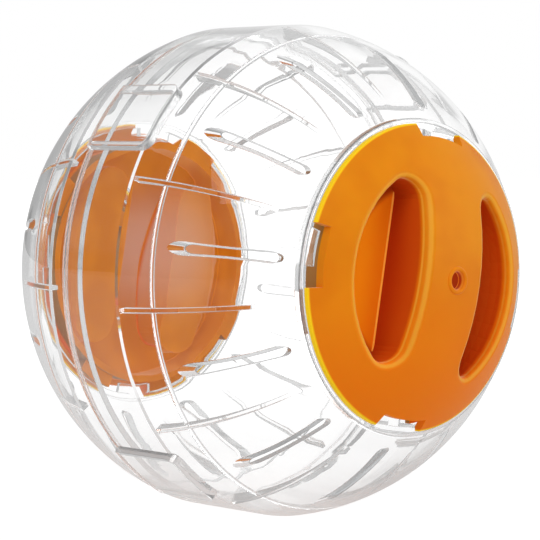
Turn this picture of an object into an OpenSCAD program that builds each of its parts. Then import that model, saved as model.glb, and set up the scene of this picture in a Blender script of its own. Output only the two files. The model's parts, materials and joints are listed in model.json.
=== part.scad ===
// Exercise ball for a small hamster: two clear halves that push together at a
// flat belt, and a domed cap that turns into the doorway at each end.
// The origin is the centre of the ball. The axle line runs along Y and the front
// doorway faces -Y. Each half is drawn about its own pole, which points along +Z,
// and is then laid over into place.

/* [Ball] */
// Outer radius of the ball
ball_r = 60; // [56:0.5:66]
// Wall thickness of the clear halves
wall = 1.6; // [1.2:0.1:2]
// Half the width of the flat belt round the seam
belt_half = 11.8; // [10.4:0.2:13]
// Radius of the ring bead inside each half
bead_r = 0.55; // [0.3:0.05:0.8]
// Latitude of the ring bead, in degrees
bead_at = 20.3; // [18:0.1:22]
// Clearance between pieces that fit together
fit = 0.3; // [0.2:0.05:0.4]

/* [Seam] */
// How far the front skirt laps over the back half
skirt_lap = 5.9; // [4.5:0.1:7]
// Distance from the seam plane back to the free edge of the spigot
spigot_back = 2.6; // [0:0.1:3.2]
// Wall thickness of the spigot on the back half
spigot_t = 1.4; // [1:0.1:2]
// Height of the shoulder that carries the spigot
shoulder_h = 1.6; // [1.2:0.1:2.4]
// Number of lock pockets and tongues
lock_count = 4; // [3:1:4]
// Width of a lock pocket
pocket_w = 17.8; // [14:0.2:20]
// How far a pocket stands out from the belt
pocket_rise = 1.6; // [1.2:0.1:2.4]
// Wall thickness of a pocket
pocket_wall = 1.5; // [1:0.1:1.8]
// Distance from the seam to the closed end of a pocket
pocket_end = 14.5; // [12:0.1:17]
// Corner radius at the closed end of a pocket
pocket_corner = 3; // [2.4:0.1:4]
// Gap at each side of a tongue
tongue_side = 0.4; // [0.3:0.05:0.6]
// Gap at the tip of a tongue
tongue_tip = 0.5; // [0.3:0.05:1]

/* [Vents and treads] */
// Number of vent slots in each half, with a tread between each two
slot_count = 12; // [8:1:12]
// Width of a vent slot at the outer face
slot_w = 2; // [1.6:0.1:2.4]
// Distance from the doorway collar out to the near end of a slot
slot_door_gap = 2.9; // [2.2:0.1:6.6]
// Distance from the belt in to the near end of a slot
slot_belt_gap = 6; // [5.4:0.1:9.8]
// Draft of the slot walls, in degrees
slot_draft = 9; // [4:0.5:11]
// Width of a tread
tread_w = 1; // [0.8:0.1:1.4]
// Height of a tread at the belt
tread_h = 1.8; // [1:0.1:2.4]
// Distance from the doorway collar out to where a tread runs out
tread_gap = 4.2; // [2.6:0.1:8]

/* [Doorway] */
// Thickness of the raised collar round the doorway
collar_wall = 0.8; // [0.6:0.1:1.4]
// How far the collar stands up from the ball
collar_rise = 0.8; // [0.4:0.1:1.2]
// Depth of the rebate inside the collar
rebate = 1; // [0.6:0.1:1.4]
// Thickness of the ledge and its lugs
ledge_t = 1.6; // [1.2:0.1:2]
// Width of the ledge under the cap rim
ledge_w = 1.4; // [1:0.1:1.8]
// Arc of a lug, in degrees
lug_arc = 14.5; // [12:0.5:17]
// Length of the lead-in ramp under a lug
ramp_run = 3; // [2:0.1:4]
// Height of the lead-in ramp under a lug
ramp_rise = 0.8; // [0.4:0.1:1]

/* [Cap] */
// Radius of the cap rim
cap_r = 35.3; // [34.6:0.1:35.9]
// Thickness of the cap rim at its edge
rim_t = 1.4; // [1:0.1:2]
// How far the crown of the cap stands out past the ball
cap_rise = 1.5; // [0.5:0.1:3]
// Wall thickness of the cap
cap_wall = 1.8; // [1.4:0.1:2.2]
// Distance from the rim edge in to the skirt
rim_w = 4.3; // [4:0.1:4.6]
// Depth of a rim window, from the rim edge in
window_w = 2.8; // [2.2:0.1:3.7]
// Wall thickness of the skirt
skirt_wall = 1.6; // [1.2:0.1:1.9]
// How far the skirt runs past its hooks
skirt_lip = 0.6; // [0.4:0.1:1.5]
// Thickness of a hook
hook_t = 1.4; // [1:0.1:2]
// Arc of a rim window, in degrees
window_arc = 24; // [22:0.5:27]
// Radius of the hole in the crown
hole_r = 2.1; // [1.5:0.1:3]
// Width of the raised ring round the hole
ring_w = 1.1; // [0.8:0.1:1.4]
// Height of the raised ring round the hole
ring_rise = 0.35; // [0.2:0.05:0.5]

/* [Finger recesses] */
// Half the width of the grip bar, down in the recesses
bar_half = 9.6; // [8.6:0.1:10.6]
// Radius of the curved side of a recess
recess_r = 25.6; // [24.4:0.1:26]
// Radius of the two corners of a recess
recess_corner = 4; // [3.6:0.1:5]
// Depth of a recess below the crown of the cap
recess_depth = 14.2; // [12:0.1:15]
// Width of the curve between the floor and the curved side
floor_curve = 6.4; // [5:0.1:6.6]
// Radius of the rounded mouth
mouth_r = 2.1; // [1.4:0.1:2.3]
// Wall thickness round a recess
recess_wall = 1.6; // [1.2:0.1:1.9]

/* [Hidden] */
$fn = 96;
overrun = 1;

// Turn of each half about the axle line, and of each cap in its half
front_turn = -8.5;
back_turn = 12.4;
seat_turn = -2.4;

// Azimuths in a half: slots from 0, treads half way between, pockets on a slot
tread_at = 180 / slot_count;
pocket_at = 60;
tongue_at = 180 - front_turn - pocket_at - back_turn;

// Height above the middle of a sphere, out at a given radius
function height_at(sphere_r, across) = sqrt(sphere_r * sphere_r - across * across);

// Wall and belt
inner_r = ball_r - wall;
belt_r = height_at(ball_r, belt_half);
belt_in = belt_r - wall;
seat_z = skirt_lap + fit;
spigot_out = belt_in - fit;
spigot_in = spigot_out - spigot_t;

// Locks: a pocket bulges out of the front skirt, a tongue on the back half fills it
pocket_out = belt_r + pocket_rise;
hollow_r = pocket_out - pocket_wall;
hollow_w = pocket_w - 2 * pocket_wall;
hollow_end = pocket_end - pocket_wall;
hollow_corner = pocket_corner - pocket_wall;
tongue_out = hollow_r - fit;
tongue_in = spigot_out - fit;
tongue_w = hollow_w - 2 * tongue_side;
tongue_end = hollow_end - tongue_tip;
tongue_corner = hollow_corner - tongue_side;

// Doorway and the collar round it
door_r = cap_r + fit;
collar_out = door_r + collar_wall;

// Slots: the middles of the two round ends lie on the outer face, and the slot is
// drafted from the slanted plane through them
slot_in = collar_out + slot_door_gap;
slot_out = belt_r - slot_belt_gap;
slot_a = slot_in + slot_w / 2;
slot_b = slot_out - slot_w / 2;
slot_mid = (slot_a + slot_b) / 2;
slot_tip = slot_out + slot_w / 2;
slot_fall = (height_at(ball_r, slot_a) - height_at(ball_r, slot_b)) / (slot_b - slot_a);
function slot_z(across) = height_at(ball_r, slot_a) - slot_fall * (across - slot_a);
slot_above = height_at(ball_r, slot_mid) - slot_z(slot_mid) + overrun;
slot_below = slot_z(slot_tip) - height_at(inner_r, slot_tip) + overrun;
end_steps = 8;

// Treads: their edge is a sphere that meets the wall where they run out
tread_top_r = collar_out + tread_gap;
tread_top = height_at(inner_r, tread_top_r);
tread_low_r = height_at(inner_r, belt_half) - tread_h;
tread_z = (tread_top * tread_top + tread_top_r * tread_top_r - belt_half * belt_half
    - tread_low_r * tread_low_r) / (2 * (tread_top - belt_half));
tread_r = sqrt(tread_low_r * tread_low_r + (belt_half - tread_z) * (belt_half - tread_z));

// Heights in the doorway
collar_top = height_at(ball_r, collar_out) + collar_rise;
ledge_top = collar_top - rebate;
ledge_z = ledge_top - ledge_t;
ledge_in = door_r - ledge_w;

// Cap: rim, dome and skirt
rim_z = ledge_top + fit;
rim_top = rim_z + rim_t;
cap_top = ball_r + cap_rise;
dome_sag = cap_top - rim_top;
dome_r = (cap_r * cap_r + dome_sag * dome_sag) / (2 * dome_sag);
dome_z = cap_top - dome_r;
skirt_out = cap_r - rim_w;
skirt_in = skirt_out - skirt_wall;
window_in = cap_r - window_w;
hook_out = ledge_in - fit;
hook_top = ledge_z - fit;
hook_z = hook_top - hook_t;
skirt_z = hook_z - skirt_lip;

// Azimuths in a cap, in degrees from the middle of a rim window. A quarter holds
// one window with the lug in it, then one hook with a stop at its far end.
lug_count = 4;
lug_play = 1.5;
hook_play = 1;
stop_play = 0.8;
stop_arc = 1.7;
lug_from = lug_play - window_arc / 2;
hook_from = window_arc / 2 + hook_play;
stop_from = hook_from + lug_arc + stop_play;
lug_gap = 0.8;
lug_in = skirt_out + lug_gap;

// Recess: floor, the curve from it that ends just under the rounded mouth, and
// the middles of its two corners
recess_floor = cap_top - recess_depth;
curve_gap = 0.2;
curve_rise = dome_z + height_at(dome_r, recess_r) - mouth_r - curve_gap - recess_floor;
corner_x = bar_half + recess_corner;
corner_y = height_at(recess_r - recess_corner, corner_x);
chord_steps = 8;
corner_steps = 8;
side_steps = 12;
curve_steps = 5;
mouth_steps = 5;
mouth_turn = 70;
mouth_lift = 0.3;

// Copies spaced evenly round the pole, the first at a given azimuth
module around(count, first) {
    for (k = [0 : count - 1]) {
        rotate([0, 0, first + k * 360 / count]) children();
    }
}

// Part of a ring with a square section
module ring_arc(r_in, r_out, low, high, from, arc) {
    rotate([0, 0, from]) rotate_extrude(angle = arc) {
        translate([r_in, low]) square([r_out - r_in, high - low]);
    }
}

// Section of the clear wall from a given height up to the doorway
module wall_section(low) {
    difference() {
        intersection() {
            circle(ball_r);
            translate([door_r, low]) square([belt_r - door_r, ball_r]);
        }
        intersection() {
            circle(inner_r);
            translate([0, low - overrun]) square([belt_in, ball_r]);
        }
    }
    translate([inner_r * cos(bead_at), inner_r * sin(bead_at)]) circle(bead_r);
}

// Section of the doorway: raised collar, rebate and ledge
module door_section() {
    polygon([
        [ledge_in, ledge_z],
        [collar_out, ledge_z],
        [collar_out, collar_top],
        [door_r, collar_top],
        [door_r, ledge_top],
        [ledge_in, ledge_top]
    ]);
}

// Section of the spigot and of the shoulder that joins it to the back belt
module spigot_section() {
    translate([spigot_in, spigot_back]) square([spigot_t, seat_z + shoulder_h - spigot_back]);
    translate([spigot_in, seat_z]) square([belt_r - wall / 2 - spigot_in, shoulder_h]);
}

// Outline of a vent slot in the slanted plane that lies a given lift above it
function slot_ring(lift) = [for (end = [slot_b, slot_a], i = [0 : end_steps])
    let (
        rho = slot_w / 2 - tan(slot_draft) * lift,
        a = (end == slot_b ? 90 : 270) - 180 * i / end_steps,
        across = end + rho * cos(a)
    )
    [across, rho * sin(a), slot_z(across) + lift]];

// One vent slot, cut along the axle line and drafted so that it widens inwards
module slot_cut() {
    loft([slot_ring(-slot_below), slot_ring(slot_above)]);
}

// Tapered treads on the inner face
module treads() {
    intersection() {
        rotate_extrude() difference() {
            intersection() {
                circle(inner_r + wall / 2);
                translate([0, belt_half]) square([ball_r, tread_top - belt_half]);
            }
            translate([0, tread_z]) circle(tread_r);
        }
        around(slot_count, tread_at) {
            translate([0, -tread_w / 2, 0]) cube([ball_r, tread_w, ball_r]);
        }
    }
}

// A lug under the cap rim, with a ramp where the hook runs in beneath it
module lug() {
    difference() {
        ring_arc(lug_in, door_r, ledge_z, ledge_top, lug_from, lug_arc);
        rotate([0, 0, lug_from + lug_arc]) {
            translate([lug_in - overrun, 0, ledge_z]) rotate([90, 0, 90]) {
                linear_extrude(ledge_in - lug_in + overrun) polygon([
                    [-ramp_run, 0],
                    [overrun, ramp_rise * (1 + overrun / ramp_run)],
                    [overrun, -overrun],
                    [-ramp_run, -overrun]
                ]);
            }
        }
    }
}

// Everything that the two halves share, from a given height up to the doorway
module half(low) {
    difference() {
        rotate_extrude() {
            wall_section(low);
            door_section();
            children();
        }
        around(slot_count, 0) slot_cut();
    }
    treads();
    around(lug_count, seat_turn) lug();
}

// Block that points out along X, with round corners at its upper end
module tab(w, low, high, corner, out_r) {
    intersection() {
        translate([0, 0, low - overrun]) cylinder(h = high - low + 2 * overrun, r = out_r);
        rotate([90, 0, 90]) linear_extrude(out_r + overrun) {
            translate([-w / 2, low]) square([w, high - corner - low]);
            translate([corner - w / 2, low]) square([w - 2 * corner, high - low]);
            for (side = [-1, 1]) {
                translate([side * (w / 2 - corner), high - corner]) circle(corner);
            }
        }
    }
}

// Clear half nearer the viewer, with the skirt and the lock pockets
module front_shell() {
    color("WhiteSmoke", 0.4) rotate([90, 0, 0]) rotate([0, 0, front_turn]) {
        difference() {
            union() {
                half(-skirt_lap - overrun);
                around(lock_count, pocket_at) difference() {
                    tab(pocket_w, -skirt_lap - 2 * overrun, pocket_end, pocket_corner, pocket_out);
                    translate([0, 0, -ball_r]) cylinder(h = 2 * ball_r, r = belt_r - wall / 2);
                }
            }
            translate([0, 0, -skirt_lap - ball_r]) cylinder(h = ball_r, r = pocket_out + overrun);
            around(lock_count, pocket_at) difference() {
                tab(hollow_w, -skirt_lap - 3 * overrun, hollow_end, hollow_corner, hollow_r);
                translate([0, 0, -ball_r]) cylinder(h = 2 * ball_r, r = spigot_in);
            }
        }
    }
}

// Clear half behind, with the spigot and the lock tongues
module back_shell() {
    color("WhiteSmoke", 0.4) rotate([90, 0, 180]) rotate([0, 0, back_turn]) {
        half(seat_z) spigot_section();
        around(lock_count, tongue_at) difference() {
            mirror([0, 0, 1]) {
                tab(tongue_w, -seat_z - shoulder_h / 2, tongue_end, tongue_corner, tongue_out);
            }
            translate([0, 0, -ball_r]) cylinder(h = 2 * ball_r, r = tongue_in);
        }
    }
}

// Radius of the curved side of a recess once its middle lies a given distance further
// in, so that it still runs smoothly into both corners
function side_r(in) = let (d = corner_x - recess_r + in)
    (recess_corner * recess_corner - d * d - corner_y * corner_y) / (2 * (d + recess_corner));

// Outline of a recess, moved out by one distance all round, and in by another on the
// curved side
function moved(out, in) = let (
    r = side_r(in),
    mid = recess_r - in - r,
    turn = atan2(corner_y, corner_x - mid),
    corner = recess_corner + out
) concat(
    [for (i = [0 : side_steps - 1])
        let (a = turn * (1 - 2 * i / side_steps))
        [mid + (r + out) * cos(a), (r + out) * sin(a)]],
    [for (i = [0 : corner_steps - 1])
        let (a = -turn - (180 - turn) * i / corner_steps)
        [corner_x + corner * cos(a), corner * sin(a) - corner_y]],
    [for (i = [0 : chord_steps - 1])
        [bar_half - out, corner_y * (2 * i / chord_steps - 1)]],
    [for (i = [0 : corner_steps - 1])
        let (a = 180 - (180 - turn) * i / corner_steps)
        [corner_x + corner * cos(a), corner_y + corner * sin(a)]]
);
function level(flat, z) = [for (p = flat) [p[0], p[1], z]];
function on_dome(flat, lift) = [for (p = flat) [p[0], p[1], dome_z + height_at(dome_r, norm(p)) + lift]];

// Rings of the floor curve, for a form that lies a given wall outside the recess
function floor_rings(skin) = [for (i = [0 : curve_steps])
    let (a = 90 * i / curve_steps)
    level(moved(skin, floor_curve * (1 - sin(a))),
        recess_floor - skin + (curve_rise + skin) * (1 - cos(a)))];

// Rings of the rounded mouth, which end a little above the dome
function mouth_rings() = [for (i = [0 : mouth_steps])
    let (a = mouth_turn * i / mouth_steps)
    on_dome(moved(mouth_r * (1 - cos(a)), 0), -mouth_r * (1 - sin(a)))];
mouth_run = (mouth_lift + mouth_r * (1 - sin(mouth_turn))) * tan(mouth_turn);
mouth_edge = moved(mouth_r * (1 - cos(mouth_turn)) + mouth_run, 0);

// Solid through a stack of rings, lowest first
module loft(rings) {
    n = len(rings[0]);
    top = len(rings) - 1;
    polyhedron(
        points = [for (r = rings, p = r) p],
        faces = concat(
            [[for (i = [n - 1 : -1 : 0]) i]],
            [[for (i = [0 : n - 1]) top * n + i]],
            [for (k = [0 : top - 1], i = [0 : n - 1])
                let (a = k * n + i, b = k * n + (i + 1) % n)
                each [[a, b, b + n], [a, b + n, a + n]]]
        )
    );
}

// Hollow of a recess, open above the dome
module recess_cut() {
    loft(concat(
        floor_rings(0),
        mouth_rings(),
        [on_dome(mouth_edge, mouth_lift), level(mouth_edge, cap_top + overrun)]
    ));
}

// Wall round a recess, up into the thickness of the dome
module recess_shell() {
    intersection() {
        loft(concat(floor_rings(recess_wall), [level(moved(recess_wall, 0), cap_top + overrun)]));
        translate([0, 0, dome_z]) sphere(dome_r - cap_wall / 2);
    }
}

// Section of the cap: dome with its rim, skirt, and the ring round the hole
module cap_section() {
    intersection() {
        translate([0, dome_z]) difference() {
            circle(dome_r);
            circle(dome_r - cap_wall);
        }
        translate([0, rim_z]) square([cap_r, ball_r]);
    }
    translate([skirt_in, skirt_z]) {
        square([skirt_wall, dome_z + height_at(dome_r - cap_wall / 2, skirt_out) - skirt_z]);
    }
    translate([hole_r + ring_w / 2, cap_top + ring_rise - ring_w / 2]) circle(ring_w / 2);
}

// A hook on the skirt, which runs under a lug until the stop at its far end meets it
module hook() {
    difference() {
        ring_arc(skirt_out - skirt_wall / 2, hook_out, hook_z, ledge_top - fit,
            hook_from, stop_from + stop_arc - hook_from);
        ring_arc(skirt_in, hook_out + overrun, hook_top, ledge_top,
            hook_from - stop_arc, stop_from + stop_arc - hook_from);
    }
}

// A cap about its own pole, with a rim window on the X axis and the bar along Y
module cap() {
    difference() {
        union() {
            rotate_extrude() cap_section();
            around(2, 0) recess_shell();
        }
        around(2, 0) recess_cut();
        around(lug_count, 0) {
            ring_arc(window_in, cap_r + overrun, rim_z - overrun, cap_top, -window_arc / 2, window_arc);
        }
        translate([0, 0, dome_z]) cylinder(h = dome_r + ball_r, r = hole_r);
    }
    around(lug_count, 0) hook();
}

// Orange cap in the front doorway
module front_cap() {
    color("darkorange") rotate([90, 0, 0]) rotate([0, 0, front_turn + seat_turn]) cap();
}

// Orange cap in the back doorway
module back_cap() {
    color("darkorange") rotate([90, 0, 180]) rotate([0, 0, back_turn + seat_turn]) cap();
}

front_shell();
back_shell();
front_cap();
back_cap();
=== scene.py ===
# %% [markdown]
# # A clear exercise ball for a small hamster
# The shapes come from the packed model: two clear halves and two orange caps. This script gives them
# their finishes, lights them as a shop photograph does, and sets the camera where the photograph's stood.
# Nothing that comes from the packed model is moved here, and no shape is added to it.

import json
import math

import bpy
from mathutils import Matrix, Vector


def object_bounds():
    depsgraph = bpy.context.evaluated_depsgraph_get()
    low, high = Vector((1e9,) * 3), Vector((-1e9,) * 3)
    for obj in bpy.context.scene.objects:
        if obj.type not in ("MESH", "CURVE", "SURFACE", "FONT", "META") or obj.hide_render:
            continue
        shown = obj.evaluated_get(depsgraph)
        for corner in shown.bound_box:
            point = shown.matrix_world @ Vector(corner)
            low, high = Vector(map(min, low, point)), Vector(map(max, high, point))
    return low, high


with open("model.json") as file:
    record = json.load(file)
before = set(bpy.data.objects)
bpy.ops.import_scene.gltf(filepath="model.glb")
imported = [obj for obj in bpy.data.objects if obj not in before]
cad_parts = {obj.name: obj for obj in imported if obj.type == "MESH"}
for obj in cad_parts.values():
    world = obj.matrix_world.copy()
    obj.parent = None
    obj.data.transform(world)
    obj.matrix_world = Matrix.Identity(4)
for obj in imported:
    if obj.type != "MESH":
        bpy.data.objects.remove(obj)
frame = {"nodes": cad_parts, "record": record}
nodes = frame["nodes"]
model_low, model_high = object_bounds()
print("packed pieces:", sorted(nodes))
print("packed size in mm:", [round(1000 * side, 2) for side in model_high - model_low])

# %% [markdown]
# ## The camera
# The ball's outline is a circle, so the outline alone can't say how far off the camera was. The two cap rims and
# the seam are circles on one line, and how they flatten in the photograph gives both the distance and the turn.
# A long lens at a bit over half a metre fits them, almost level with the middle of the ball.

# %% Camera
PICTURE = 540
FOCAL = 2402.27
MIDDLE = (269.634, 269.036)
TURN = math.radians(43.49)
RISE = math.radians(3.34)
DISTANCE = 0.5845
SENSOR = 36
NEAREST = 0.01

camera_data = bpy.data.cameras.new("photo_camera")
camera_data.sensor_width = SENSOR
camera_data.lens = FOCAL * SENSOR / PICTURE
camera_data.shift_x = (PICTURE / 2 - MIDDLE[0]) / PICTURE
camera_data.shift_y = (MIDDLE[1] - PICTURE / 2) / PICTURE
camera_data.clip_start = NEAREST
camera = bpy.data.objects.new("photo_camera", camera_data)
bpy.context.scene.collection.objects.link(camera)
towards = Vector((-math.sin(TURN) * math.cos(RISE), -math.cos(TURN) * math.cos(RISE), math.sin(RISE)))
camera.location = DISTANCE * towards
camera.rotation_euler = (-towards).to_track_quat("-Z", "Y").to_euler()
bpy.context.scene.camera = camera
print("lens in mm:", round(camera_data.lens, 1))

# %% [markdown]
# ## How the picture is worked out
# Standard shows a colour as it is written, so a white ground stays white. Light that comes through one clear wall
# behind another is bent many times, and with too few bounces the walls at the back would turn black.

# %% Colours as written, and enough bounces
BOUNCES = 24

bpy.context.scene.view_settings.view_transform = "Standard"
for kind in ("max_bounces", "glossy_bounces", "transmission_bounces", "transparent_max_bounces"):
    setattr(bpy.context.scene.cycles, kind, BOUNCES)
print("bounces of a ray, at most:", bpy.context.scene.cycles.max_bounces)

# %% [markdown]
# ## Shader maths
# A material is a tree of nodes, and sums and products in it are nodes too. Written by hand they fill pages, so
# one small class wraps a socket and turns Python's own + - * into those nodes. Most of what follows is masks,
# numbers between 0 and 1 that say how much a point belongs to a place. A band rises from 0 to 1, a fade falls
# from 1 to 0, a product of the two is where both hold, and a mix lays one colour over another by a mask.


# %% Sockets that can be added and multiplied
class Wire:
    """One output socket of a node tree. Arithmetic on it adds Math nodes."""

    def __init__(self, tree, socket):
        self.tree, self.socket = tree, socket

    def node(self, kind, settings=(), sockets=(), out=0):
        """Any other node: its type, its settings, then the values or links of its sockets."""
        made = self.tree.nodes.new(kind)
        for name, value in dict(settings).items():
            setattr(made, name, value)
        for name, value in dict(sockets).items():
            if isinstance(value, Wire):
                self.tree.links.new(value.socket, made.inputs[name])
            else:
                made.inputs[name].default_value = value
        return Wire(self.tree, made.outputs[out])

    def maths(self, operation, *others):
        """One Math node: this socket first, then the others."""
        return self.node("ShaderNodeMath", {"operation": operation}, enumerate((self, *others)))

    def __add__(self, other):
        return self.maths("ADD", other)

    def __sub__(self, other):
        return self.maths("SUBTRACT", other)

    def __rsub__(self, other):
        return self.node("ShaderNodeMath", {"operation": "SUBTRACT"}, {0: other, 1: self})

    def __mul__(self, other):
        return self.maths("MULTIPLY", other)

    __radd__, __rmul__ = __add__, __mul__

    def size(self):
        """This number without its sign."""
        return self.maths("ABSOLUTE")

    def band(self, low, high, start=0.0, end=1.0):
        """Runs smoothly from start to end as this goes from low to high."""
        sockets = {0: self, 1: low, 2: high, 3: start, 4: end}
        return self.node("ShaderNodeMapRange", {"interpolation_type": "SMOOTHSTEP"}, sockets)

    def fade(self, low, high):
        """Runs smoothly from 1 to 0 as this goes from low to high."""
        return self.band(low, high, 1.0, 0.0)

    def mix(self, first, second):
        """The first colour where this is 0, the second where it is 1."""
        sockets = {0: self, 6: first, 7: second}
        return self.node("ShaderNodeMix", {"data_type": "RGBA"}, sockets, out=2)


print("a socket now has:", ", ".join(name for name in vars(Wire) if not name.startswith("_")))

# %% [markdown]
# ## An empty tree
# Blender puts a grey shader into each new material and world. It is easier to read a tree that holds only what
# this script put there, so each starts empty but for its output node.


# %% Start a finish
def start_tree(tree):
    """Empties a node tree, and returns a Wire to make nodes with and the tree's output node."""
    tree.nodes.clear()
    kind = "ShaderNodeOutputWorld" if tree.id_data.bl_rna.identifier == "World" else "ShaderNodeOutputMaterial"
    return Wire(tree, None), tree.nodes.new(kind)


def new_finish(name):
    """A new material, a Wire to make its nodes with and its output node."""
    material = bpy.data.materials.new(name)
    material.use_nodes = True
    make, output = start_tree(material.node_tree)
    return material, make, output


def report_finish(material):
    """Says how large a finish became, and hands it on."""
    print(material.name, "is made of", len(material.node_tree.nodes), "nodes")
    return material


BLACK, WHITE = (0, 0, 0, 1), (1, 1, 1, 1)
finishes = {}
print("plain colours to mix between:", BLACK, WHITE)

# %% [markdown]
# ## Where a point of a cap lies
# A cap is one moulding, but it doesn't look the same all over: the dome, the thin rim, the lips of the two finger
# recesses, their walls and floors, the skirt, the bore and the side that faces into the ball each take the light
# in their own way. Faces could be painted one by one, and that would be lost as soon as the shape is packed again.
# So a few lengths are measured at each point, and every part of the cap is found by bands of these lengths.

# %% Lengths on a cap
RIM_RADIUS = 0.0353
DOME_RADIUS, DOME_MIDDLE = 0.05679, 0.00471
RECESS_X, RECESS_RISE = 0.0185, 0.047
BAR_HALF = 0.0096
# The bar is turned about the axle by 10.9 degrees on the front cap and by 10.0 on the back one
BAR_COSINE, BAR_SINE, BAR_SINE_CHANGE = 0.9834, 0.1815, 0.0076
# Middle of the painted highlight on the back cap
HIGHLIGHT_X, HIGHLIGHT_Z = 0.0095, 0.003


def split(vector):
    """The x, y and z of a vector."""
    return [vector.node("ShaderNodeSeparateXYZ", (), {0: vector}, out=axis) for axis in range(3)]


class CapPoint:
    """Where a point of a cap lies, in metres, and how its face is turned."""

    def __init__(self, place, normal):
        x, self.along, z = split(place)
        across, outward, up = split(normal)
        end = self.along.maths("SIGN")
        y = self.along.size() - DOME_MIDDLE
        self.height = z
        self.from_axle = (x * x + z * z).maths("SQRT")
        self.depth = DOME_RADIUS - (x * x + y * y + z * z).maths("SQRT")
        self.outward = outward * end
        self.to_rim = across * x + up * z
        self.off_recess = across * (x - x.maths("SIGN") * RECESS_X) + self.outward * (y - RECESS_RISE) + up * z
        self.off_bar = (x * BAR_COSINE - z * (BAR_SINE - end * BAR_SINE_CHANGE)).size() - BAR_HALF
        self.off_highlight = ((x - HIGHLIGHT_X) * (x - HIGHLIGHT_X) + (z - HIGHLIGHT_Z) * (z - HIGHLIGHT_Z)).maths("SQRT")


print("a cap is measured from a rim of", 1000 * RIM_RADIUS, "mm and a dome of", 1000 * DOME_RADIUS, "mm")

# %% [markdown]
# ## The finger recesses
# Two recesses leave a grip bar between them. Their walls stand deep under the dome and face into the recess,
# their floors are the only deep faces that look straight out, and where the bar's side meets the floor a painted
# highlight draws a fine pale crease. The lip is rounded, and painted highlights draw it as two thin lines, one at
# the dome and one lower down.

# %% Masks of the finger recesses
# Each pair of numbers says between which two values a mask changes, and lengths are in metres
WITHIN_SKIRT = (0.0290, 0.0300)
WALL_STARTS, WALL_REACH, WALL_DARKENS = (0.0019, 0.0032), (0.0258, 0.0285), (0.0025, 0.0120)
FACES_RECESS = (-0.002, 0.0)
FLOOR_STARTS, FLOOR_BRIGHTENS, FLOOR_LEVEL = (0.0090, 0.0100), (0.0, 0.008), (0.90, 0.99)
CREASE_HALF, CREASE_TOP = (0.0002, 0.0004), (0.0475, 0.0477)
OUTER_LINE_STARTS, OUTER_LINE_ENDS, OUTER_LINE = (0.00005, 0.0003), (0.0005, 0.0010), 0.6
INNER_LINE_STARTS, INNER_LINE_ENDS, INNER_LINE = (0.0014, 0.0017), (0.0019, 0.0022), 0.7
FACES_OUT = (-0.1, 0.0)


def recess_masks(at):
    """How much a point of a cap belongs to each part of a finger recess."""
    within = at.from_axle.fade(*WITHIN_SKIRT)
    wall = at.depth.band(*WALL_STARTS) * at.from_axle.fade(*WALL_REACH) * at.off_recess.fade(*FACES_RECESS)
    # The lip's two thin lines are painted highlights
    outer_line = at.depth.band(*OUTER_LINE_STARTS) * at.depth.fade(*OUTER_LINE_ENDS) * OUTER_LINE
    inner_line = at.depth.band(*INNER_LINE_STARTS) * at.depth.fade(*INNER_LINE_ENDS) * INNER_LINE
    return {
        "wall": wall,
        "deep in wall": at.depth.band(*WALL_DARKENS),
        # Painted shade on the floor near the bar, painted light away from it
        "floor": at.outward.band(*FLOOR_LEVEL) * at.depth.band(*FLOOR_STARTS) * within,
        "off the bar": at.off_bar.band(*FLOOR_BRIGHTENS),
        # The crease is a painted highlight
        "crease": at.off_bar.size().fade(*CREASE_HALF) * wall * at.along.size().fade(*CREASE_TOP),
        "lip": (outer_line + inner_line) * within * at.outward.band(*FACES_OUT),
    }


print("a recess starts", 1000 * WALL_STARTS[0], "mm under the dome, its floor", 1000 * FLOOR_STARTS[0], "mm")

# %% [markdown]
# ## The rest of a cap
# The side that faces into the ball is found by its direction, and so are the bulges that the recesses make in it
# and the skirt's inner wall. The skirt's outer wall and the bore stand along the axle. One more place is not a part
# at all: a painted highlight, a pale round soft spot over the middle of the back cap.

# %% Masks of the rest of a cap
RIM_EDGE = (RIM_RADIUS - 0.0005, RIM_RADIUS - 0.0001)
LOWER_SHADE_SPAN = (-0.030, 0.010)
FACES_IN, BULGE_TURN, BULGE_STARTS = (-0.3, -0.1), (0.0, 0.002), (0.0020, 0.0030)
SKIRT_TURN, SKIRT_INSIDE = (-0.020, -0.005), (0.0285, 0.0290)
SKIRT_LEVEL, SKIRT_OUTSIDE, SKIRT_STARTS = (0.2, 0.4), (0.0300, 0.0310), (0.003, 0.004)
BORE_WALL, BORE_STARTS, BORE_VIEW, BORE_LEVEL = (0.0032, 0.0036), (0.0003, 0.0006), (0.010, 0.013), (0.3, 0.5)
MIDPLANE = (-0.001, 0.001)
HIGHLIGHT_REACH = (0.002, 0.022)


def strongest(first, *others):
    """The highest of several masks."""
    for other in others:
        first = first.maths("MAXIMUM", other)
    return first


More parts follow.
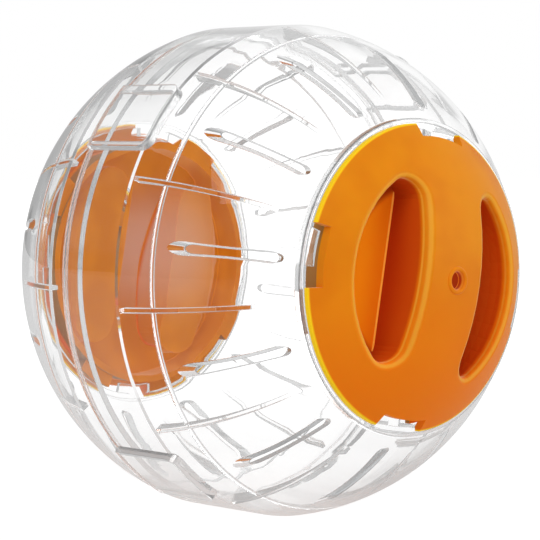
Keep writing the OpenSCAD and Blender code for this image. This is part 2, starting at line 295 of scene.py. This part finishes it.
def other_masks(at):
    """How much a point of a cap belongs to its rim, skirt, bore, inner side and painted highlight."""
    bulge = at.off_recess.band(*BULGE_TURN) * at.depth.band(*BULGE_STARTS) * at.from_axle.fade(*WITHIN_SKIRT)
    skirt_inside = at.to_rim.fade(*SKIRT_TURN) * at.from_axle.band(*SKIRT_INSIDE)
    inner = strongest(at.outward.fade(*FACES_IN), bulge, skirt_inside)
    # Painted shade: the back cap's inner wall seen through the bore is counted as bore and painted dark with it
    front_wall = at.along.fade(*MIDPLANE) * at.outward.size().fade(*BORE_LEVEL)
    wall_in_bore = at.from_axle.fade(*BORE_VIEW) * inner * front_wall
    skirt = at.outward.size().fade(*SKIRT_LEVEL) * at.from_axle.band(*SKIRT_OUTSIDE)
    return {
        "rim": at.from_axle.band(*RIM_EDGE),
        # Painted shade lower down on the cap
        "low": at.height.fade(*LOWER_SHADE_SPAN),
        "inner": inner,
        "skirt": skirt * at.depth.band(*SKIRT_STARTS),
        "bore": strongest(at.from_axle.fade(*BORE_WALL) * at.depth.band(*BORE_STARTS), wall_in_bore),
        "highlight": at.off_highlight.fade(*HIGHLIGHT_REACH) * at.along.band(*MIDPLANE),
    }


print("the bore is taken to be", 2000 * BORE_WALL[0], "mm wide, the haze", 2000 * HIGHLIGHT_REACH[1], "mm")

# %% [markdown]
# ## Colours of the orange caps
# The caps are moulded in a soft, slightly translucent orange plastic. One flat orange would look like paint, so the
# dome's colour drifts a little. Painted shade makes it redder and a little darker towards the floor, and makes the
# recess walls darker and redder with depth, standing in for light there that has bounced from orange to orange.
# Painted shade also darkens the inner side, the skirt and the bore, and the recess floors carry painted shade near
# the bar and painted light away from it. Painted highlights make the lips and the crease paler and yellower, and the
# thin rim is paler and yellower too. The ground colour comes first, and each further colour is laid over the ones
# before it by its mask.

# %% Colour of the orange plastic
ORANGE, DEEP_ORANGE = (0.90, 0.300, 0.004, 1), (0.82, 0.240, 0.003, 1)
# Painted shade: the dome is painted redder and a little darker towards the floor
SHADED_LOW_ORANGE = (1.0, 0.225, 0.002, 1)
# Painted shade: the side that faces into the ball is painted darker, and its painted glow lights it again
INNER_SHADE_ORANGE = (0.42, 0.125, 0.006, 1)
# Painted shade: the skirt's outer wall, seen through the clear collar, is painted a dull brown
SHADED_SKIRT_BROWN = (0.42, 0.19, 0.050, 1)
# Painted shade: the recess walls are painted darker and redder with depth
SHADED_WALL_RED, DEEP_SHADE_RED = (0.66, 0.090, 0.002, 1), (0.48, 0.045, 0.001, 1)
# The recess floors carry painted shade near the bar and painted light away from it
SHADED_FLOOR_RED, LIT_FLOOR_ORANGE = (0.88, 0.23, 0.004, 1), (1.0, 0.31, 0.004, 1)
# Painted shade: the bore, and the inner wall seen through it, are painted dark red
BORE_SHADE_RED = (0.40, 0.050, 0.005, 1)
# Painted highlights on the lips and the crease
LIP_HIGHLIGHT = (1.0, 0.50, 0.050, 1)
THIN_YELLOW = (1.0, 0.62, 0.010, 1)
DRIFT_SCALE, DRIFT_SPAN = 45.0, (0.35, 0.65)


def noise(place, scale, detail):
    """Soft random spots, about 1 / scale metres across."""
    return place.node("ShaderNodeTexNoise", (), {"Vector": place, "Scale": scale, "Detail": detail})


def cap_colour(place, on):
    """The cap's colour: the ground colour, then one more for each place: painted shade, painted highlights and the
    rim's paler yellow.
    """
    colour = noise(place, DRIFT_SCALE, 3.0).band(*DRIFT_SPAN).mix(DEEP_ORANGE, ORANGE)
    for mask, paint in (
        (on["low"], SHADED_LOW_ORANGE),
        (on["inner"], INNER_SHADE_ORANGE),
        (on["skirt"], SHADED_SKIRT_BROWN),
        (on["wall"], on["deep in wall"].mix(SHADED_WALL_RED, DEEP_SHADE_RED)),
        (on["floor"], on["off the bar"].mix(SHADED_FLOOR_RED, LIT_FLOOR_ORANGE)),
        (on["bore"], BORE_SHADE_RED),
        (strongest(on["lip"], on["crease"]), LIP_HIGHLIGHT),
        (on["rim"], THIN_YELLOW),
    ):
        colour = mask.mix(colour, paint)
    return colour


print("the orange drifts over spots of about", round(1000 / DRIFT_SCALE), "mm")

# %% [markdown]
# ## Light that comes through the orange
# Plastic that is lit from behind glows. Blender can follow that light through both walls of the ball, but it takes
# long and leaves specks, so a weak painted glow of the plastic's own stands in for it: blotchy on the side that faces
# into the ball, and small on the recess floors, the rim, the bore and the crease. The same glow also paints a pale
# highlight, a round soft spot over the middle of the back cap.

# %% Glow of the orange plastic
INNER_DIM, INNER_LIGHT = (0.78, 0.22, 0.0, 1), (1.0, 0.33, 0.005, 1)
# Painted highlight: a pale glow over the middle of the back cap
HIGHLIGHT_GLOW = (1.0, 0.64, 0.50, 1)
FLOOR_LIGHT = (0.5, 0.08, 0.0, 1)
THIN_LIGHT = (0.5, 0.31, 0.005, 1)
BORE_LIGHT = (0.5, 0.040, 0.0, 1)
CREASE_LIGHT = (0.5, 0.21, 0.050, 1)
BLOTCH_SCALE, BLOTCH_SPAN = 90.0, (0.40, 0.62)


def cap_glow(place, on):
    """The colour of the cap's own light, black where it has none."""
    blotches = noise(place, BLOTCH_SCALE, 3.0).band(*BLOTCH_SPAN).mix(INNER_DIM, INNER_LIGHT)
    glow = (on["inner"] * (1 - on["skirt"])).mix(BLACK, on["highlight"].mix(blotches, HIGHLIGHT_GLOW))
    for name, light in (("floor", FLOOR_LIGHT), ("rim", THIN_LIGHT), ("bore", BORE_LIGHT), ("crease", CREASE_LIGHT)):
        glow = on[name].mix(glow, light)
    return glow


print("the glow is blotched at about", round(1000 / BLOTCH_SCALE), "mm")

# %% [markdown]
# ## The orange plastic, put together
# The real caps have a satin skin with a fine grain from the mould, and light wanders a little way under it, which
# warms the hollows. So the colour and the glow go into one shader with scattering under the surface, the grain
# lifts both the roughness and a faint bump, and the recess walls are duller than the dome.

# %% Orange plastic
GRAIN_SCALE = 2600.0
ROUGH, GRAIN_ROUGH, WALL_ROUGH = 0.40, 0.08, 0.40


def orange_plastic():
    """The finish of both caps."""
    material, make, output = new_finish("orange_plastic")
    place = make.node("ShaderNodeTexCoord", out="Object")
    at = CapPoint(place, make.node("ShaderNodeTexCoord", out="Normal"))
    on = {**recess_masks(at), **other_masks(at)}
    grain = noise(place, GRAIN_SCALE, 2.0)
    plastic = make.node("ShaderNodeBsdfPrincipled", {"subsurface_method": "RANDOM_WALK"}, {
        "Base Color": cap_colour(place, on),
        "Roughness": grain * GRAIN_ROUGH + on["wall"] * WALL_ROUGH + ROUGH,
        "IOR": 1.49,
        "Specular IOR Level": 0.1,
        "Subsurface Weight": 0.35,
        "Subsurface Radius": (1.0, 0.35, 0.08),
        "Subsurface Scale": 0.0025,
        "Emission Color": cap_glow(place, on),
        "Emission Strength": 0.30,
        "Normal": make.node("ShaderNodeBump", (), {"Strength": 0.10, "Distance": 0.0001, "Height": grain}),
    })
    material.node_tree.links.new(plastic.socket, output.inputs["Surface"])
    return report_finish(material)


finishes["orange_plastic"] = orange_plastic()

# %% [markdown]
# ## Painted shade in the clear plastic
# The halves are clear polystyrene, which should show nothing but its edges. In the photograph these are grey lines:
# slot walls and other faces that stand across the ball's surface, the rounded edges of every opening, a touch of
# grey where a wall is seen along its length, and the corner where a doorway's collar stands on the ball. These lines
# are painted shade: paint on the surface would hide what is behind it, so the plastic is tinted grey there instead,
# and still refracts.

# %% Shade of the clear plastic
SIDE_TURN, BELT_TURN, EDGE_TURN, GRAZE_TURN = (0.2, 0.9), (0.80, 0.95), (0.80, 0.995), (0.6, 1.0)
SLOT_SHADE, BELT_SHADE, EDGE_SHADE, GRAZE_SHADE, FOOT_SHADE = 0.40, 0.15, 0.85, 0.015, 0.75
COLLAR_RADIUS, COLLAR_LINE = 0.0364, (0.0001, 0.0002)
FOOT_LOW, FOOT_HIGH = (0.0470, 0.0475), (0.0480, 0.0482)


def dot(first, second):
    """How far one vector runs along another."""
    return first.node("ShaderNodeVectorMath", {"operation": "DOT_PRODUCT"}, {0: first, 1: second}, out=1)


def clear_masks(place, normal, rounded):
    """How much a point of a half is a side wall, square to the axle, or on a rounded edge."""
    radial = place.node("ShaderNodeVectorMath", {"operation": "NORMALIZE"}, {0: place})
    side = dot(radial, normal).size().fade(*SIDE_TURN)
    belt = split(normal)[1].size().band(*BELT_TURN)
    edge = dot(rounded, rounded.node("ShaderNodeNewGeometry", out="Normal")).fade(*EDGE_TURN)
    return side, belt, edge


def clear_colour(place, side, belt, edge):
    """White where the plastic is fully clear, greyed by painted shade on walls, edges and at the collar's foot."""
    x, along, z = split(place)
    graze = place.node("ShaderNodeLayerWeight", (), {"Blend": 0.5}, out="Facing").band(*GRAZE_TURN)
    # Painted shade: a grey line in the corner where the collar stands on the ball
    foot = ((x * x + z * z).maths("SQRT") - COLLAR_RADIUS).size().fade(*COLLAR_LINE)
    foot = foot * along.size().fade(*FOOT_HIGH) * along.size().band(*FOOT_LOW)
    side_shade = side * (SLOT_SHADE + belt * (BELT_SHADE - SLOT_SHADE))
    clear = (1 - side_shade) * (1 - graze * GRAZE_SHADE) * (1 - edge * EDGE_SHADE) * (1 - foot * FOOT_SHADE)
    return clear.mix(BLACK, WHITE)


print("the collar's line is", 2000 * COLLAR_LINE[0], "mm wide, at", 1000 * COLLAR_RADIUS, "mm from the axle")

# %% [markdown]
# ## Rays that go straight on
# Full refraction of every ray would be right and would look wrong. Rays from lamps, and rays that light the caps,
# would reach the inside as specks. Rays that were mirrored once would be trapped between the walls. And faces square
# to the axle, such as the steps of the belt, would be drawn as bands far wider than in the photograph. So the
# first three kinds aren't bent at all, and a share of the rays that meet such a face goes on unbent.

# %% Share of rays that aren't bent
BELT_THROUGH = 0.6


def bounced(make, kind):
    """1 for rays that were mirrored, or let through, at least once."""
    return make.node("ShaderNodeLightPath", out=kind).maths("MINIMUM", 1.0)


def straight_on(make, side, belt, edge):
    """1 for rays that aren't bent at all, and a share for those at the belt's faces."""
    is_shadow = make.node("ShaderNodeLightPath", out="Is Shadow Ray")
    is_diffuse = make.node("ShaderNodeLightPath", out="Is Diffuse Ray")
    return strongest(is_shadow, is_diffuse, bounced(make, "Glossy Depth"), side * (1 - edge) * belt * BELT_THROUGH)


print("share of rays that go straight through the belt's faces:", BELT_THROUGH)

# %% [markdown]
# ## The clear plastic, put together
# Real refraction draws slot walls, treads and the ring bead as lines of grey and white, as the photograph has
# them. A perfectly sharp edge would show nothing, so a Bevel node rounds each edge in the shading alone. The skin
# has faint waves from the mould, side walls are slightly frosted and carry a stronger sheen, and the body of the
# plastic takes up a little light, which greys the outline, where the eye looks through the most of it.

# %% Clear plastic
CLEAR_IOR = 1.54
ABSORPTION = 9.0
CLEAR_TINT = (0.80, 0.84, 0.86, 1)
MIRROR_TINT = (0.45, 0.45, 0.45, 1)
SIDE_FROST = 0.12
COAT_IOR, COAT_ROUGH = 2.0, 0.15
EDGE_ROUND, EDGE_SAMPLES = 0.00025, 4
WAVE_SCALE = 60.0


def clear_plastic():
    """The finish of both halves."""
    material, make, output = new_finish("clear_plastic")
    place = make.node("ShaderNodeTexCoord", out="Object")
    rounded = make.node("ShaderNodeBevel", {"samples": EDGE_SAMPLES}, {"Radius": EDGE_ROUND})
    side, belt, edge = clear_masks(place, make.node("ShaderNodeTexCoord", out="Normal"), rounded)
    waves = {"Strength": 0.15, "Distance": 0.0006, "Height": noise(place, WAVE_SCALE, 1.0), "Normal": rounded}
    glass = make.node("ShaderNodeBsdfPrincipled", (), {
        "Base Color": clear_colour(place, side, belt, edge),
        "Specular Tint": MIRROR_TINT,
        "Roughness": side * SIDE_FROST,
        "IOR": CLEAR_IOR,
        "Transmission Weight": 1.0,
        "Coat Weight": side,
        "Coat IOR": COAT_IOR,
        "Coat Roughness": COAT_ROUGH,
        "Normal": make.node("ShaderNodeBump", (), waves),
    })
    through = make.node("ShaderNodeBsdfTransparent")
    plastic = make.node("ShaderNodeMixShader", (), {0: straight_on(make, side, belt, edge), 1: glass, 2: through})
    body = make.node("ShaderNodeVolumeAbsorption", (), {"Color": CLEAR_TINT, "Density": ABSORPTION})
    material.node_tree.links.new(plastic.socket, output.inputs["Surface"])
    material.node_tree.links.new(body.socket, output.inputs["Volume"])
    return report_finish(material)


finishes["clear_plastic"] = clear_plastic()

# %% [markdown]
# ## The finishes go on the pieces
# Each piece is one moulding of one plastic, so it takes one material, and the packed model's own record says which.
# The caps are hidden from mirrored rays. A real clear wall mirrors a little orange, but here every step and bead
# would show a bright orange arc, which the photograph doesn't have.

# %% Put the finishes on the pieces
for part in frame["record"]["subparts"]:
    piece = nodes[part["node"]]
    piece.data.materials.clear()
    piece.data.materials.append(finishes[part["material_slot"]])
    piece.visible_glossy = part["material_slot"] != "orange_plastic"
    print(part["node"], "is", part["material_slot"], "with", len(piece.data.polygons), "faces")

# %% [markdown]
# ## Studio
# Clear plastic has no look of its own: it shows what stands round it. The photograph has a white backdrop, so the
# sky is white to the camera and to rays that have come through the halves. Rays that were mirrored see a room that
# is a little greyer, and much darker to the left, and that draws the outline. Mirrored rays that have also been
# inside the plastic see soft darker shapes, which give the faint streaks that a real clear wall shows.

# %% Grey room for mirrored rays
ROOM_DARK, ROOM_PALE, ROOM_SPAN = 0.84, 1.0, (-0.2, 0.8)
DARK_WALL, WALL_SPAN = (-0.725, 0.688, 0.0), (-0.2, 0.5)
WALL_LEVEL, INSIDE_WALL_LEVEL = 0.15, 0.60
SHAPE_SCALE, SHAPE_SPAN, INSIDE_DARK = 4.0, (0.35, 0.55), 0.55


def room_level(make):
    """How light the room is in each direction, for rays that were mirrored."""
    direction = make.node("ShaderNodeTexCoord", out="Generated")
    to_wall = dot(direction, DARK_WALL)
    outside = split(direction)[2].band(*ROOM_SPAN, ROOM_DARK, ROOM_PALE) * to_wall.band(*WALL_SPAN, 1.0, WALL_LEVEL)
    shapes = noise(direction, SHAPE_SCALE, 2.0).band(*SHAPE_SPAN, INSIDE_DARK, 1.0)
    inside = shapes * to_wall.band(*WALL_SPAN, 1.0, INSIDE_WALL_LEVEL)
    return outside + bounced(make, "Transmission Depth") * (inside - outside)


print("the room is", ROOM_DARK, "light low down,", ROOM_PALE, "high up and", WALL_LEVEL, "of that on the left")

# %% [markdown]
# ## Sky
# What the camera sees and what lights the ball need not be the same. The sky is plain white where it is seen, and
# a touch more than white through the halves, which makes up for what the plastic takes. As a light it has half that
# strength, so the colours of the caps come out as they are written.

# %% White sky
ROOM_LIGHT = 0.50
THROUGH = 1.12


def seen(make):
    """1 for rays by which something is seen, 0 for rays that only carry light."""
    camera_ray = make.node("ShaderNodeLightPath", out="Is Camera Ray")
    glossy_ray = make.node("ShaderNodeLightPath", out="Is Glossy Ray")
    through_ray = make.node("ShaderNodeLightPath", out="Is Transmission Ray")
    return (camera_ray + glossy_ray + through_ray).maths("MINIMUM", 1.0)


world = bpy.data.worlds.new("studio")
bpy.context.scene.world = world
world.use_nodes = True
make, output = start_tree(world.node_tree)
through_ray = make.node("ShaderNodeLightPath", out="Is Transmission Ray")
shown = 1.0 + through_ray * (THROUGH - 1.0) - bounced(make, "Glossy Depth") * (1.0 - room_level(make))
in_view = seen(make)
level = in_view * shown + (1.0 - in_view) * ROOM_LIGHT
sky = make.node("ShaderNodeBackground", (), {"Color": WHITE, "Strength": level})
world.node_tree.links.new(sky.socket, output.inputs["Surface"])
print("the sky is made of", len(world.node_tree.nodes), "nodes")

# %% [markdown]
# ## Floor
# The ball rests on a white sheet. Painted white alone it would come out grey, because the lamps don't light it
# evenly. So it glows by itself where it is seen, fully from a little way off and in part under the ball, and what
# doesn't glow is paint, which takes the soft shadow. Mirrored rays see more of the paint than of the glow, or the
# lower half of the clear plastic would lose its grey lines.

# %% Finish of the floor
FLOOR_PAINT = (0.85, 0.85, 0.85, 1)
FLOOR_STRENGTH = 1.25
FLOOR_GLOW, GLOW_SPAN = 0.70, (0.1, 0.6)
MIRRORED_LOSS = 0.8


def white_floor():
    """Part paint that takes the shadow, part glow that keeps the sheet white."""
    material, make, output = new_finish("white_floor")
    place = make.node("ShaderNodeTexCoord", out="Object")
    away = make.node("ShaderNodeVectorMath", {"operation": "LENGTH"}, {0: place}, out="Value")
    share = seen(make) * away.band(*GLOW_SPAN, FLOOR_GLOW, 1.0) * (1.0 - bounced(make, "Glossy Depth") * MIRRORED_LOSS)
    paint = make.node("ShaderNodeBsdfDiffuse", (), {"Color": FLOOR_PAINT})
    glow = make.node("ShaderNodeEmission", (), {"Color": WHITE, "Strength": FLOOR_STRENGTH})
    both = make.node("ShaderNodeMixShader", (), {0: share, 1: paint, 2: glow})
    material.node_tree.links.new(both.socket, output.inputs["Surface"])
    return report_finish(material)


finishes["white_floor"] = white_floor()

# %% [markdown]
# ## A sheet for it to stand on
# The photograph shows no far edge and no horizon, so one flat sheet, much larger than the ball, is enough. It lies
# at the packed model's lowest point, and it isn't part of the ball.

# %% Floor
FLOOR_SIDE = 6.0

half = FLOOR_SIDE / 2
floor_mesh = bpy.data.meshes.new("studio_floor")
corners = [(-half, -half, 0), (half, -half, 0), (half, half, 0), (-half, half, 0)]
floor_mesh.from_pydata(corners, [], [(0, 1, 2, 3)])
floor_mesh.materials.append(finishes["white_floor"])
floor = bpy.data.objects.new("studio_floor", floor_mesh)
floor.location.z = model_low.z
bpy.context.scene.collection.objects.link(floor)
print("the floor lies at", round(1000 * model_low.z, 2), "mm")

# %% [markdown]
# ## Lamps
# The shadow in the photograph is faint and soft. A bare bulb would throw a hard one, so the lamps are large
# squares. The key lamp stands high in front of the ball, and a weaker one stands low on the right, so that the
# walls of the recesses that turn away from the first don't go black.


# %% Lamps
def soft_box(name, place, side, power):
    """A square lamp that faces the ball."""
    data = bpy.data.lights.new(name, "AREA")
    data.shape = "SQUARE"
    data.size = side
    data.energy = power
    lamp = bpy.data.objects.new(name, data)
    lamp.location = place
    lamp.rotation_euler = (-Vector(place)).to_track_quat("-Z", "Y").to_euler()
    bpy.context.scene.collection.objects.link(lamp)
    print(name, "is", side, "m wide, with", power, "W")


soft_box("key_lamp", (-0.55, -0.45, 0.75), 0.55, 3.2)
soft_box("fill_lamp", (0.55, -0.75, 0.25), 0.60, 1.6)

# %% [markdown]
# ## Shading only
# The finishes round edges and draw lines in shading only, so the shapes stay as they were packed.
